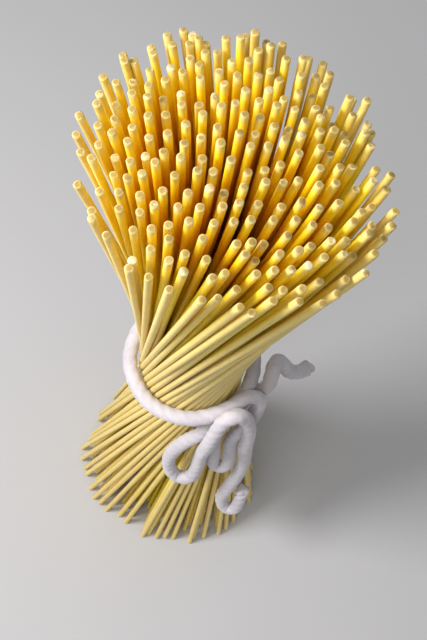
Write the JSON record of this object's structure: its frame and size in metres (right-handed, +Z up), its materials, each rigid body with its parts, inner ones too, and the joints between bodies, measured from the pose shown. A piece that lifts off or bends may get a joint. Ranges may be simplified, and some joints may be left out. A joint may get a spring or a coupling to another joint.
{
  "type": "bundle of dry spaghetti",
  "caption": "Bundle of long dry spaghetti, twisted into an hourglass and tied at its waist with a soft white string in a bow, standing on its splayed lower ends.",
  "frame": {"origin": "centre of the bundle's foot, on the surface it stands on", "axes": "+Z up along the strands, the bow is at -Y and +X, +X to the right seen from the bow's side"},
  "size_m": [0.0761, 0.0671, 0.2559],
  "materials": {
    "pasta": "dry durum pasta: slightly translucent, pale yellow at the ends, amber where light comes through the packed strands, faint satin sheen",
    "cotton": "soft white cotton cord, matt, three plies with a faint fuzz"
  },
  "bodies": {
    "root": {"spaghetti": "pasta", "string": "cotton"}
  },
  "joints": []
}
